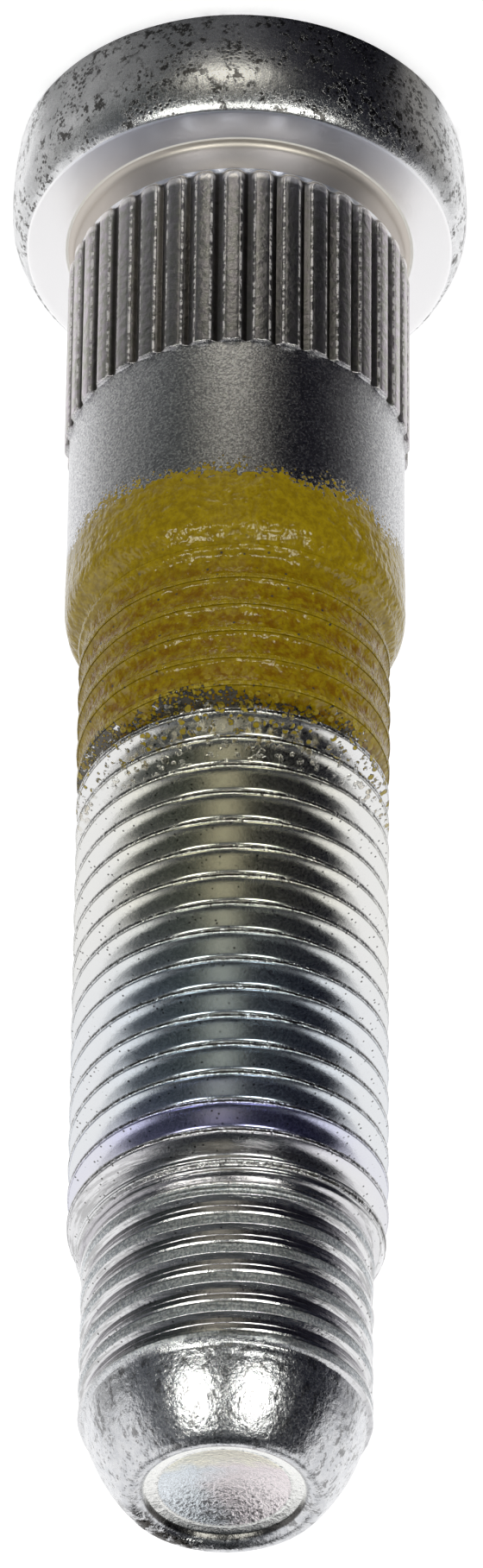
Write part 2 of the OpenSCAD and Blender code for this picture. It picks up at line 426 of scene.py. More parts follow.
def wound_thread(skin, s, ring):
    """Winds the thread up the axis as one strip, from a level ring. Returns the ring above it
    and that ring's height."""
    steps, lanes = s.turn_points, len(STRIP)
    rows = strip_turns(s) * steps
    levels = 9

    def place(row, offset):
        return FRONT + FULL_TURN * row / steps, first_crest(s) + s.pitch * (row / steps + offset)

    def point(row, lane):
        angle, z = place(row, STRIP[lane])
        return surface_point(skin, s, angle, z, STRIP[lane])

    grid = [[point(row, lane) for lane in range(lanes)] for row in range(rows + 1)]
    above = [point(row, 0) for row in range(rows + 1, rows + steps + 1)]

    def at(row, lane):
        if lane == lanes:
            row, lane = row + steps, 0
        return grid[row][lane] if row <= rows else above[row - rows - 1]

    def upright(row, low_z, high_z):
        """Points between two heights, without the ends."""
        angle, _ = place(row, 0)
        heights = np.linspace(low_z, high_z, levels + 1)[1:-1]
        return [surface_point(skin, s, angle, float(z), None) for z in heights]

    skin.faces.extend(
        (at(row, lane), at(row + 1, lane), at(row + 1, lane + 1), at(row, lane + 1))
        for row in range(rows)
        for lane in range(lanes)
    )

    ids, angles = ring
    ring_z = skin.points[ids[0]][2] / MM
    lines = [[ids[k], *upright(k, ring_z, place(k, STRIP[0])[1]), at(k, 0)] for k in range(steps)]
    skin.join_lines(lines)
    skin.zip_lines(lines[-1], lines[0] + [at(0, lane) for lane in range(1, lanes + 1)])

    # The ring above lies just clear of the strip's last lane
    top_z = first_crest(s) + s.pitch * (strip_turns(s) + 0.5) + 0.12
    high = skin.ring(angles, nose_radius(s, top_z), top_z)
    lines = [
        [at(rows + k, 0), *upright(rows + k, place(rows + k, STRIP[0])[1], top_z), high[0][k % steps]]
        for k in range(1, steps + 1)
    ]
    skin.join_lines(lines)
    skin.zip_lines([at(rows, lane) for lane in range(lanes)] + lines[-1], lines[0])
    return high, top_z


def nose_outline(s, start_z):
    """Outline of the nose, its rim and its dimple above a height, as (radius, height)."""
    curve = (s.pilot_d / 2 - NOSE_INSET - s.nose_curve, s.nose_z - NOSE_DROP)
    reach, turn = s.nose_curve - s.end_rim, math.radians(NOSE_TURN)
    rim = (curve[0] + reach * math.cos(turn), curve[1] + reach * math.sin(turn))
    first = math.degrees(math.asin((start_z - curve[1]) / s.nose_curve))
    dimple = s.dimple_d / 2
    last = math.degrees(math.acos((dimple - rim[0]) / s.end_rim))
    dish = dimple - s.dimple_bevel
    floor = s.length - s.bevel_depth - s.dish_depth
    dish_r = arc_radius(dish, s.dish_depth)
    dish_turn = math.degrees(math.asin(dish / dish_r))
    return (
        arc(curve, s.nose_curve, first + 1.5, NOSE_TURN, 14)
        + arc(rim, s.end_rim, NOSE_TURN + 10, last, 10)
        + [(dimple - 0.05, s.length - 0.12), (dimple - 0.1, s.length - 0.13)]
        + [(dish + 0.1, s.length - s.bevel_depth + 0.02)]
        + arc((0, floor + dish_r), dish_r, dish_turn - 90, -87, 9)
    )


def add_head(skin, s, angles):
    """The head from the middle of its outer face to the neck. Returns the last ring."""
    ring = skin.ring(angles, 2.0, 0.0)
    skin.cap(ring, 0.0, up=False)
    for radius in (4.0, 6.0, 8.0, 9.0):
        ring = skin.join(ring, skin.ring(angles, radius, 0.0))
    for radius, z in head_outline(s):
        # The side is a little lumpy. The outer face and the bearing face are flat.
        side = float(smooth(z / 0.5) * smooth((s.head_t - z) / 0.8))
        lumps = [uneven(math.cos(a) * radius, math.sin(a) * radius, z, 0.45, 0.03) * side for a in angles]
        ring = skin.join(ring, skin.ring(angles, radius + np.array(lumps), z))
    return ring


def add_serrations(skin, s, ring):
    """The serrated band, from a ring on the neck. Returns the last ring."""
    half = CREST_SHARE / 2
    right = np.array([0.0, 0.12, half - 0.04, half + 0.02, 0.38])
    corners = np.concatenate([[-0.5], -right[:0:-1], right])
    ridge = FULL_TURN / s.serrations
    middles = FRONT + SERRATION_TURN + ridge * (np.arange(s.serrations) + 0.5)
    teeth = (middles[:, None] + ridge * corners[None, :]).ravel()
    low, high = s.serration_z, s.serration_z + s.serration_len
    starts = low + np.array([-0.45, -0.25, -0.1, 0.0, 0.06, 0.12, 0.2, 0.32, 0.5])
    stops = high + np.array([-0.5, -0.08, -0.05, -0.03, -0.01, 0.015, 0.04, 0.06, 0.3])
    for z in np.concatenate([starts, np.linspace(low + 1.2, high - 1.2, 5), stops]):
        ring = skin.join(ring, skin.ring(teeth, serration_radius(s, teeth, z), z))
    return ring


def stud_skin(s):
    """The whole stud as one closed surface."""
    skin = Skin()
    plain = FRONT + FULL_TURN * np.arange(s.ring_points) / s.ring_points
    turn = FRONT + FULL_TURN * np.arange(s.turn_points) / s.turn_points
    ring = add_serrations(skin, s, add_head(skin, s, plain))
    shank_z = s.serration_z + s.serration_len
    for z in np.linspace(shank_z + 0.9, s.coat_low - 0.4, 5):
        ring = skin.join(ring, skin.ring(turn, s.shank_d / 2, z))
    ring, top_z = wound_thread(skin, s, ring)
    for radius, z in nose_outline(s, top_z):
        ring = skin.join(ring, skin.ring(turn, radius, z))
    skin.cap(ring, s.length - s.bevel_depth - s.dish_depth, up=True)
    return skin


# Materials


# Fine lines in each pitch of the chamfer
CHAMFER_LINES = 6
# The relief is given in hundredths of a millimetre
RELIEF_UNIT = 0.01 * MM


def rgba(given):
    """A colour for a node: a socket as it is, or red, green and blue with full cover."""
    return given if isinstance(given, bpy.types.NodeSocket) else (*given, 1.0)


class Nodes:
    """The nodes of a material or a world under construction, with short calls for each kind."""

    def __init__(self, owner):
        owner.use_nodes = True
        self.tree = owner.node_tree
        self.tree.nodes.clear()

    def put(self, socket, value):
        """Links a socket, or sets its value."""
        if isinstance(value, bpy.types.NodeSocket):
            self.tree.links.new(value, socket)
        else:
            socket.default_value = value

    def node(self, kind, inputs=None, **settings):
        """A new node with its settings and with what goes into its sockets, by name or number."""
        made = self.tree.nodes.new(kind)
        for key, value in settings.items():
            setattr(made, key, value)
        for key, value in (inputs or {}).items():
            self.put(made.inputs[key], value)
        return made

    def end(self, shader, kind="ShaderNodeOutputMaterial"):
        """Links a shader to the output."""
        self.node(kind, {0: shader.outputs[0]})

    def math(self, operation, *values):
        """One sum of up to three numbers."""
        return self.node("ShaderNodeMath", dict(enumerate(values)), operation=operation).outputs[0]

    def times(self, product, *others):
        """The product of several numbers."""
        for other in others:
            product = self.math("MULTIPLY", product, other)
        return product

    def ramp(self, value, low, high, to_low=0.0, to_high=1.0):
        """A smooth change from one value to another as the input passes from low to high."""
        inputs = {"Value": value, "From Min": low, "From Max": high, "To Min": to_low, "To Max": to_high}
        return self.node("ShaderNodeMapRange", inputs, interpolation_type="SMOOTHSTEP").outputs["Result"]

    def band(self, value, low, high, soft):
        """1 between two values and 0 outside them, with soft ends."""
        rising = self.ramp(value, low - soft, low + soft)
        return self.times(rising, self.ramp(value, high + soft, high - soft))

    def grain(self, vector, scale, detail=3.0, roughness=0.55):
        """Noise from 0 to 1."""
        inputs = {"Vector": vector, "Scale": scale, "Detail": detail, "Roughness": roughness}
        return self.node("ShaderNodeTexNoise", inputs).outputs["Fac"]

    def cells(self, vector, scale):
        """Distance to the nearest of many scattered points."""
        return self.node("ShaderNodeTexVoronoi", {"Vector": vector, "Scale": scale}).outputs["Distance"]

    def mix(self, share, a, b):
        """Mixes two colours."""
        inputs = {"Factor": share, 6: rgba(a), 7: rgba(b)}
        return self.node("ShaderNodeMix", inputs, data_type="RGBA").outputs[2]

    def blend(self, share, a, b):
        """Mixes two numbers."""
        return self.node("ShaderNodeMix", {"Factor": share, 2: a, 3: b}, data_type="FLOAT").outputs[0]

    def stretch(self, vector, scale):
        """Scales a place along its three axes."""
        return self.node("ShaderNodeVectorMath", {0: vector, 1: scale}, operation="MULTIPLY").outputs[0]


class Places:
    """Where a point lies on the stud, and the noises that several regions share."""

    def __init__(self, f, s):
        self.f = f
        self.place = f.stretch(f.node("ShaderNodeTexCoord").outputs["Object"], (1 / MM, 1 / MM, 1 / MM))
        self.x, self.y, self.z = f.node("ShaderNodeSeparateXYZ", {0: self.place}).outputs
        across = f.times(self.x, self.x)
        self.radius = f.math("SQRT", f.math("MULTIPLY_ADD", self.y, self.y, across))
        # -1 on the side that faces the camera, 1 behind
        self.facing = f.math("DIVIDE", self.y, self.radius)
        self.angle = f.math("SUBTRACT", f.math("ARCTAN2", self.y, self.x), FRONT)
        # Place across the thread, as a share of the pitch from the middle of the crest
        wound = f.math("DIVIDE", f.math("SUBTRACT", self.z, first_crest(s)), s.pitch)
        lane = f.math("SUBTRACT", wound, f.math("DIVIDE", self.angle, FULL_TURN))
        self.lane = f.math("SUBTRACT", f.math("FRACT", f.math("ADD", lane, 0.5)), 0.5)
        self.off_crest = f.math("ABSOLUTE", self.lane)
        # 1 on the last half millimetre of the nose
        self.end = f.ramp(self.z, s.length - 0.6, s.length - 0.4)
        self.fine = f.grain(self.place, 9.0, 4.0, 0.7)
        self.lines = f.grain(f.stretch(self.place, (0.4, 0.4, 7)), 1.0, 5.0, 0.7)
        self.mottle = f.grain(self.place, 2.3, 6.0, 0.72)
        self.cloud = f.grain(self.place, 0.6, 3.0)

    def rough(self, low, high):
        """A roughness that wanders between two values with the fine noise."""
        return self.f.ramp(self.fine, 0.3, 0.7, low, high)

    def specks(self, scale, size, low, high):
        """Small round specks in clusters: cells to a millimetre, their size, and how much is clear."""
        near = self.f.ramp(self.f.cells(self.place, scale), size, size * 0.5)
        return self.f.times(near, self.f.ramp(self.cloud, low, high))


class Surface:
    """The finish so far: colour, roughness, metal and relief, built up layer by layer."""

    def __init__(self, f, base, rough):
        self.f, self.base, self.rough = f, base, rough
        self.metal, self.rise = 1.0, 0.0

    def paint(self, share, tint):
        """Lays a colour over a share of the surface."""
        self.base = self.f.mix(share, self.base, tint)

    def roughen(self, share, rough):
        """Gives a share of the surface another roughness."""
        self.rough = self.f.blend(share, self.rough, rough)

    def lift(self, share, height):
        """Adds a relief, in hundredths of a millimetre."""
        self.rise = self.f.math("MULTIPLY_ADD", share, height, self.rise)

    def keep_metal(self, share):
        """Leaves a share of the metal. The rest is dirt, paint, rough oxide or a painted highlight."""
        self.metal = self.f.times(self.metal, share)


def steel_tint(f, at, s, look):
    """Base colour of the plating, with faint tints that change along the stud."""
    stops = (
        [(0.0, look.zinc), (s.coat_high, look.zinc), (s.coat_high + 4, look.zinc_warm)]
        + [(47.0, look.zinc_warm), (52.0, look.zinc_blue), (57.8, look.zinc_blue)]
        + [(59.2, look.zinc_violet), (60.4, look.zinc_rose), (61.8, look.zinc)]
    )
    ramp = f.node("ShaderNodeValToRGB", {0: f.math("DIVIDE", at.z, s.length)})
    for _ in stops[2:]:
        ramp.color_ramp.elements.new(0.5)
    for element, (height, tint) in zip(ramp.color_ramp.elements, stops):
        element.position = height / s.length
        element.color = rgba(tint)
    return f.mix(f.ramp(at.facing, -0.5, -0.93, 0.25, 1.0), look.zinc, ramp.outputs[0])


def head_finish(f, at, s, look, surface):
    """Head: soft mottling and clusters of dark specks."""
    on_head = f.ramp(at.z, s.head_t - 0.02, s.head_t - 0.12)
    shade = f.ramp(f.grain(at.place, 0.9, 5.0, 0.65), 0.35, 0.62, 0.0, 0.34)
    surface.paint(f.times(on_head, shade), (0.38, 0.39, 0.4))
    coarse = f.times(f.ramp(at.mottle, 0.53, 0.58), f.ramp(at.cloud, 0.4, 0.52))
    # Two places where the specks crowd, left and right of the middle
    left = f.times(f.band(at.angle, 0.12, 0.62, 0.1), f.band(at.z, 3.2, 4.4, 0.4))
    right = f.times(f.band(at.angle, -1.2, -0.62, 0.1), f.band(at.z, 2.6, 4.6, 0.4))
    crowd = f.times(f.ramp(at.mottle, 0.5, 0.58), f.math("MAXIMUM", left, right))
    coarse = f.math("MAXIMUM", coarse, crowd)
    marks = f.times(on_head, f.math("MAXIMUM", at.specks(4.2, 0.46, 0.48, 0.6), coarse))
    surface.paint(f.times(marks, 0.9), look.pit_and_shade)
    surface.roughen(on_head, at.rough(0.18, 0.3))
    surface.lift(on_head, f.times(marks, -0.8))
    surface.lift(on_head, f.times(at.mottle, 3.0))


def bearing_finish(f, at, s, surface):
    """Bearing face and neck: duller and smooth. The bearing face is painted blue-grey on the camera's side,
    a painted reflection of the shank, and near white at the sides. A painted highlight runs round the
    fillet.
    """
    on_back = f.band(at.z, s.head_t - 0.05, s.serration_z - 0.3, 0.02)
    on_neck = f.times(on_back, f.ramp(at.radius, s.neck_d / 2 + 0.4, s.neck_d / 2 + 0.25))
    front = f.ramp(at.facing, -0.4, -0.97)
    surface.roughen(on_back, f.ramp(front, 0.0, 1.0, 0.32, 0.42))
    # Painted reflection: blue-grey on the side facing the camera, where the face mirrors the shank, near
    # white at the sides
    surface.paint(on_back, f.mix(front, (0.99, 0.98, 0.99), (0.58, 0.6, 0.7)))
    surface.paint(on_neck, (0.63, 0.58, 0.53))
    surface.roughen(on_neck, 0.45)
    fillet = s.neck_d / 2 + s.neck_fillet
    # A painted highlight: a thin near-white line round the fillet, with the metal taken off
    line = f.times(on_back, f.band(at.radius, fillet - 0.09, fillet + 0.02, 0.03))
    surface.paint(line, (1, 0.99, 0.93))
    surface.keep_metal(f.math("SUBTRACT", 1.0, line))


def serration_finish(f, at, s, look, surface):
    """Serrations: brown-grey crests, painted darker on the side facing the camera as painted shade, painted
    shade in the grooves, and painted highlights on broken edges and on the tips.
    """
    low, crest = s.serration_z, s.serration_d / 2
    serrated = f.band(at.z, low, low + s.serration_len, 0.1)
    bloom = f.mix(f.ramp(at.mottle, 0.4, 0.6), (0.66, 0.6, 0.65), (0.52, 0.52, 0.46))
    surface.paint(serrated, bloom)
    # Painted shade: the serrations are darker on the side facing the camera
    surface.paint(f.times(serrated, f.ramp(at.facing, -0.5, -0.95, 0.0, 0.7)), (0.2, 0.2, 0.21))
    surface.roughen(serrated, at.rough(0.3, 0.46))
    # Painted shade in the grooves, near black on the flank that faces right
    groove = f.times(serrated, f.ramp(at.radius, crest - 0.08, crest - 0.2))
    # Across one ridge, from the middle of a crest round to the next
    turned = f.math("SUBTRACT", at.angle, SERRATION_TURN)
    phase = f.math("FRACT", f.math("DIVIDE", turned, FULL_TURN / s.serrations))
    right_flank = f.band(phase, 0.5, 0.8, 0.03)
    surface.paint(f.times(groove, f.blend(right_flank, 0.5, 0.97)), look.pit_and_shade)
    # Painted highlights: near-white broken patches along the crests' edges, with half the metal taken off
    edge = f.times(serrated, f.band(at.radius, crest - 0.1, crest - 0.03, 0.015))
    painted_edge_highlight = f.times(edge, f.ramp(f.grain(at.place, 3.5, 4.0, 0.7), 0.46, 0.56))
    surface.paint(painted_edge_highlight, (0.95, 0.92, 0.9))
    surface.metal = f.blend(f.times(painted_edge_highlight, 0.5), surface.metal, 0.0)
    surface.lift(edge, f.times(f.grain(at.place, 5.0, 3.0), 6.0))
    surface.lift(serrated, f.times(f.grain(at.place, 2.6, 4.0), 6.0))
    # Painted highlights on the serrations' tips at the neck's end
    tip = f.times(f.band(at.z, low - 0.1, low + 0.38, 0.12), f.ramp(at.radius, crest - 0.2, crest - 0.1))
    surface.paint(f.times(tip, 0.9), (1, 0.96, 0.94))


def shank_finish(f, at, s, surface):
    """Plain shank: blasted, with a strong fine grain."""
    on_shank = f.band(at.z, s.serration_z + s.serration_len, s.coat_low + 1.5, 0.1)
    surface.roughen(on_shank, at.rough(0.16, 0.3))
    surface.paint(f.times(on_shank, f.ramp(at.fine, 0.58, 0.4, 0.06, 0.75)), (0.2, 0.2, 0.23))
    surface.lift(on_shank, f.times(at.fine, 1.8))


def thread_finish(f, at, s, look, surface):
    """Thread: nicked crests with a dark, broken seam along the middle of each, and few pits."""
    on_thread = f.band(at.z, s.thread_z, s.thread_z + s.thread_len + 1, 0.4)
    on_crest = f.times(on_thread, f.ramp(at.off_crest, 0.09, 0.06))
    seam = f.times(f.ramp(at.off_crest, 0.045, 0.02), f.ramp(at.mottle, 0.38, 0.5), on_thread)
    surface.paint(f.times(seam, 0.95), look.pit_and_shade)
    surface.lift(on_crest, f.times(f.grain(at.place, 2.2, 4.0, 0.7), 16.0))
    pits = f.times(at.specks(3.2, 0.2, 0.38, 0.5), f.ramp(at.z, s.coat_high, s.coat_high + 1))
    surface.paint(f.times(pits, 0.85), look.pit_and_shade)


def pilot_finish(f, at, s, look, surface):
    """Pilot: a rough paler land in each pitch. Chamfer: fine ring lines. Both: dark smears."""
    chamfer_z = s.thread_z + s.thread_len
    on_pilot = f.band(at.z, chamfer_z + 1, s.nose_z, 0.3)
    land = f.times(f.band(at.lane, -0.42, -0.11, 0.015), on_pilot)
    surface.paint(land, f.mix(f.ramp(at.fine, 0.42, 0.58), (0.42, 0.46, 0.5), (0.94, 0.96, 0.97)))
    surface.roughen(land, 0.34)
    surface.lift(land, f.times(at.fine, 4.0))
    floor = f.times(f.band(at.lane, 0.02, 0.44, 0.02), on_pilot)
    surface.paint(f.times(floor, 0.5), (0.38, 0.35, 0.4))
    # A thin step along the floor, which catches the light
    surface.lift(on_pilot, f.ramp(at.lane, 0.17, 0.22, 3.2, 0.0))
    surface.lift(on_pilot, f.times(f.grain(at.place, 3.0, 4.0), 2.0))
    surface.lift(on_pilot, f.times(at.lines, 2.0))
    on_chamfer = f.band(at.z, chamfer_z - 0.4, chamfer_z + s.chamfer_len, 0.3)
    surface.lift(on_chamfer, f.times(at.lines, 1.8))
    ripple = f.math("SINE", f.times(at.lane, CHAMFER_LINES * FULL_TURN))
    rippled = f.times(on_chamfer, f.ramp(at.z, chamfer_z + 0.3, chamfer_z + 0.9))
    surface.lift(rippled, f.times(ripple, 1.7))
    smear = f.times(f.ramp(at.lines, 0.45, 0.6), f.math("MAXIMUM", on_pilot, on_chamfer))
    surface.paint(f.times(smear, 0.4), look.pit_and_shade)


def nose_finish(f, at, s, look, surface):
    """Nose: hammered, with burrs at its start and thin dark scratches."""
    on_nose = f.ramp(at.z, s.nose_z - 0.2, s.nose_z + 0.3)
    surface.roughen(on_nose, at.rough(0.18, 0.3))
    surface.lift(on_nose, f.times(f.grain(at.place, 2.2, 4.0, 0.65), 4.0))
    surface.paint(f.times(on_nose, f.ramp(at.mottle, 0.4, 0.6, 0.4, 0.9)), (0.62, 0.63, 0.66))
    burrs = f.band(at.z, s.nose_z - 0.3, s.nose_z + 0.5, 0.2)
    surface.lift(burrs, f.times(f.grain(at.place, 1.6, 4.0), 4.0))
    scratch = f.ramp(f.grain(f.stretch(at.place, (1, 1, 0.45)), 2.6, 6.0, 0.75), 0.53, 0.6)
    marks = f.math("MAXIMUM", scratch, at.specks(3.4, 0.22, 0.42, 0.56))
    surface.paint(f.times(marks, on_nose, 0.6), look.pit_and_shade)


def streak_finish(f, at, look, surface):
    """A dark, dented streak on the rim, on one side of the end."""
    rim = f.band(at.radius, 3.6, 4.8, 0.1)
    streak = f.times(rim, f.band(at.x, 0.9, 4.4, 0.8), f.ramp(at.y, 0.5, 1.5), at.end)
    surface.lift(streak, f.times(f.grain(at.place, 2.2, 3.0), 16.0))
    surface.paint(f.times(streak, f.ramp(at.mottle, 0.44, 0.5)), look.pit_and_shade)


def end_finish(f, at, s, look, surface):
    """Dimple: cream, blue and rose tints and a coarse grain in the dish, and a bright bevel."""
    rim = s.dimple_d / 2
    dish = rim - s.dimple_bevel
    past_nose = f.ramp(at.z, s.length - 1.2, s.length - 1)
    on_dish = f.times(past_nose, f.ramp(at.radius, dish + 0.15, dish - 0.05))
    wander = f.math("MULTIPLY_ADD", at.cloud, 3.0, -1.5)
    cream = f.ramp(f.math("ADD", at.y, wander), -0.6, -1.8)
    blue = f.ramp(f.math("ADD", at.x, wander), -0.5, 1.3)
    surface.paint(on_dish, f.mix(cream, f.mix(blue, (1, 0.93, 0.95), (0.9, 0.95, 1)), (1, 0.98, 0.86)))
    surface.roughen(on_dish, 0.14)
    ground = f.grain(at.place, 5.5, 4.0, 0.6)
    surface.lift(on_dish, f.times(ground, 6.0))
    grains = f.times(f.ramp(ground, 0.47, 0.4), f.ramp(at.y, 0.0, 1.8))
    surface.paint(f.times(on_dish, grains, 0.7), look.pit_and_shade)
    surface.paint(f.times(f.band(at.radius, dish, rim, 0.05), at.end), (0.97, 0.97, 0.95))
    # Painted shade under the rim's inner side, away from the camera
    rim_shade = f.times(f.band(at.radius, rim - 0.1, rim + 0.06, 0.03), f.ramp(at.y, 0.2, 1.4), at.end)
    surface.paint(f.times(rim_shade, 0.9), look.pit_and_shade)


def coat_cover(f, at, s, height):
    """Where the coat lies, and where it is only large drops splashed past its end."""
    grit = f.math("MULTIPLY_ADD", f.grain(at.place, 3.0, 4.0, 0.7), 1.1, -0.55)
    # Sprayed drops that grow together where the coat lies thicker
    rising = f.math("MULTIPLY_ADD", f.math("SUBTRACT", height, s.coat_low), 0.7, 0.3)
    falling = f.math("MULTIPLY_ADD", f.math("SUBTRACT", s.coat_high, height), 0.9, 0.9)
    thick = f.math("ADD", f.math("MINIMUM", rising, falling), grit)
    coat = f.ramp(f.math("SUBTRACT", thick, f.cells(at.place, 6.0)), 0.0, 0.12)
    thinning = f.band(height, s.coat_high - 0.5, s.coat_high + 3.0, 1.0)
    thinning = f.times(thinning, f.ramp(at.mottle, 0.45, 0.53))
    splash = f.times(f.ramp(f.cells(at.place, 2.6), 0.44, 0.36), thinning)
    # Bare spots on the crests
    bare = f.times(f.ramp(f.grain(at.place, 2.1, 4.0, 0.7), 0.7, 0.73), f.ramp(at.off_crest, 0.2, 0.08))
    coat = f.times(f.math("MAXIMUM", coat, splash), f.math("SUBTRACT", 1.0, bare))
    return coat, splash


def coat_finish(f, at, s, look, surface):
    """Coat: solid on the shoulder and first threads, ragged at both edges, dirty at its end."""
    height = f.math("ADD", at.z, f.math("MULTIPLY_ADD", f.grain(at.place, 0.35, 2.0), 2.4, -1.2))
    dirty = f.times(f.band(height, s.coat_high - 0.6, s.coat_high + 0.9, 0.5), f.ramp(at.mottle, 0.36, 0.5))
    surface.paint(f.ramp(dirty, 0.0, 0.6, 0.0, 0.92), look.grime)
    surface.keep_metal(f.ramp(dirty, 0.5, 1.0, 1.0, 0.2))
    coat, splash = coat_cover(f, at, s, height)
    speckle = f.grain(at.place, 3.2, 6.0, 0.7)
    ochre = f.mix(f.ramp(speckle, 0.66, 0.36, 0.0, 0.65), look.coat, look.coat_dark)
    sunk = f.times(f.ramp(at.off_crest, 0.05, 0.3), f.ramp(at.z, s.thread_z - 1, s.thread_z + 1, 0.0, 0.85))
    ochre = f.mix(f.times(sunk, f.ramp(at.mottle, 0.4, 0.62)), ochre, look.coat_brown)
    black = f.times(at.specks(1.5, 0.13, 0.35, 0.5), f.ramp(at.z, s.thread_z - 2, s.thread_z))
    ochre = f.mix(black, ochre, look.pit_and_shade)
    surface.paint(coat, f.mix(splash, ochre, look.coat_drop))
    surface.keep_metal(f.ramp(coat, 0.4, 1.0, 1.0, 0.0))
    surface.roughen(coat, 0.13)
    surface.lift(coat, speckle)
    surface.lift(coat, f.times(f.grain(at.place, 1.6, 2.0), 16.0))


def plated_steel(s, look):
    """Zinc plating with pits and faint tints, darker serrations, the ochre coat, and painted highlights and
    shade on the bearing face, the serrations and the dimple's rim.
    """
    material = bpy.data.materials.new("plated_steel_with_coat")
    f = Nodes(material)
    at = Places(f, s)
    surface = Surface(f, steel_tint(f, at, s, look), at.rough(0.12, 0.24))
    surface.lift(at.fine, 0.5)
    head_finish(f, at, s, look, surface)
    bearing_finish(f, at, s, surface)
    serration_finish(f, at, s, look, surface)
    shank_finish(f, at, s, surface)
    thread_finish(f, at, s, look, surface)
    pilot_finish(f, at, s, look, surface)
    nose_finish(f, at, s, look, surface)
    streak_finish(f, at, look, surface)
    end_finish(f, at, s, look, surface)
    coat_finish(f, at, s, look, surface)
    bump = f.node("ShaderNodeBump", {"Strength": 1.0, "Distance": RELIEF_UNIT, "Height": surface.rise})
    inputs = {"Base Color": surface.base, "Metallic": surface.metal, "Roughness": surface.rough}
    f.end(f.node("ShaderNodeBsdfPrincipled", {**inputs, "Normal": bump.outputs[0]}))
    return material


def lit_finish(name, tint, light, strength_of):
    """A matt colour that gives light too. The light's strength is made from the nodes."""
    material = bpy.data.materials.new(name)
    f = Nodes(material)
    matt = f.node("ShaderNodeBsdfDiffuse", {"Color": rgba(tint)})
    lit = f.node("ShaderNodeEmission", {"Color": rgba(light), "Strength": strength_of(f)})
    f.end(f.node("ShaderNodeAddShader", {0: matt.outputs[0], 1: lit.outputs[0]}))
    return material


def card_finish(name, tint, glow=0.0):
    """Matt card of the studio. With a glow it is a soft box."""
    return lit_finish(name, tint, tint, lambda f: glow)


def floor_glow(f):
    """Light that only the camera, the metal and clear things see."""
    rays = f.node("ShaderNodeLightPath").outputs
    seen = f.math("MAXIMUM", rays["Is Camera Ray"], rays["Is Glossy Ray"])
    return f.times(f.math("MAXIMUM", seen, rays["Is Transmission Ray"]), 0.6)


def floor_finish():
    """White floor that shows white to the camera and in the metal, and keeps the shadow."""
    return lit_finish("studio_floor", (0.8, 0.8, 0.8), (1, 1, 1), floor_glow)


def graded_finish():
    """Matt card that takes its greys from the colours painted on its points."""
    material = bpy.data.materials.new("graded_card")
    f = Nodes(material)
    painted = f.node("ShaderNodeVertexColor", layer_name="grey")
    f.end(f.node("ShaderNodeBsdfDiffuse", {"Color": painted.outputs["Color"]}))
    return material


# Studio


# Half the floor's width, and the height round which the hung cards are curved
FLOOR_EDGE = 600
CARDS_MIDDLE = 40
# Radius at which the floor's card starts, just under the head's corner, and its height
CARD_START = 9.9
CARD_HEIGHT = 0.03
# Greys of the floor's card by azimuth: close to the stud, a little way off, near it and far out. The greys
# close to the stud are darker, a painted shadow of the head on the floor.
CLOSE_GREYS = (
    [(-125, 0.85, 0.85, 0.85), (-100, 0.55, 0.53, 0.5), (-85, 0.07, 0.07, 0.08), (-70, 0.01, 0.01, 0.016)]
    + [(-22, 0.04, 0.04, 0.05), (0, 0.17, 0.17, 0.18), (40, 0.2, 0.205, 0.21), (65, 0.42, 0.42, 0.42)]
    + [(90, 0.6, 0.6, 0.6), (125, 0.85, 0.85, 0.85)]
)
# Where its greys pass 1 the spot gives back more light than falls on it: a painted glow that the metal
# shows as a soft highlight
SPOT_GREYS = (
    [(-125, 0.85, 0.85, 0.85), (-102, 0.55, 0.53, 0.5), (-88, 0.07, 0.07, 0.08), (-75, 0.01, 0.01, 0.018)]
    + [(-28, 0.02, 0.02, 0.028), (-14, 0.35, 0.35, 0.33), (-6, 2.7, 2.6, 2.3), (18, 2.7, 2.6, 2.3)]
    + [(26, 0.3, 0.3, 0.27), (40, 0.12, 0.13, 0.13), (60, 0.4, 0.41, 0.41), (90, 0.9, 0.9, 0.9)]
    + [(125, 1.0, 1.0, 1.0)]
)
NEAR_GREYS = (
    [(-125, 0.85, 0.85, 0.85), (-108, 0.5, 0.5, 0.48), (-94, 0.07, 0.07, 0.08), (-80, 0.01, 0.01, 0.018)]
    + [(-30, 0.01, 0.01, 0.018), (-16, 0.06, 0.06, 0.06), (-5, 0.2, 0.19, 0.17), (8, 0.23, 0.22, 0.19)]
    + [(20, 0.17, 0.16, 0.14), (34, 0.06, 0.07, 0.07), (55, 0.08, 0.09, 0.09), (75, 0.3, 0.31, 0.3)]
    + [(95, 0.45, 0.45, 0.43), (125, 0.85, 0.85, 0.85)]
)
FAR_GREYS = (
    [(-125, 0.85, 0.85, 0.85), (-106, 0.5, 0.5, 0.52), (-92, 0.05, 0.05, 0.07), (-75, 0.01, 0.01, 0.018)]
    + [(-22, 0.01, 0.01, 0.018), (-12, 0.08, 0.08, 0.07), (-3, 0.6, 0.57, 0.46), (7, 0.8, 0.76, 0.6)]
    + [(15, 0.45, 0.43, 0.34), (26, 0.06, 0.07, 0.065), (62, 0.04, 0.05, 0.05), (80, 0.1, 0.11, 0.11)]
    + [(100, 0.5, 0.5, 0.5), (125, 0.85, 0.85, 0.85)]
)
# How far out on the floor the card's rows lie, for each of its greys
CARD_ROWS = (((0, 4), CLOSE_GREYS), ((7, 13), SPOT_GREYS), ((18, 35), NEAR_GREYS), ((60, 700), FAR_GREYS))


def new_object(name, data):
    """A new object in the scene."""
    made = bpy.data.objects.new(name, data)
    bpy.context.scene.collection.objects.link(made)
    return made


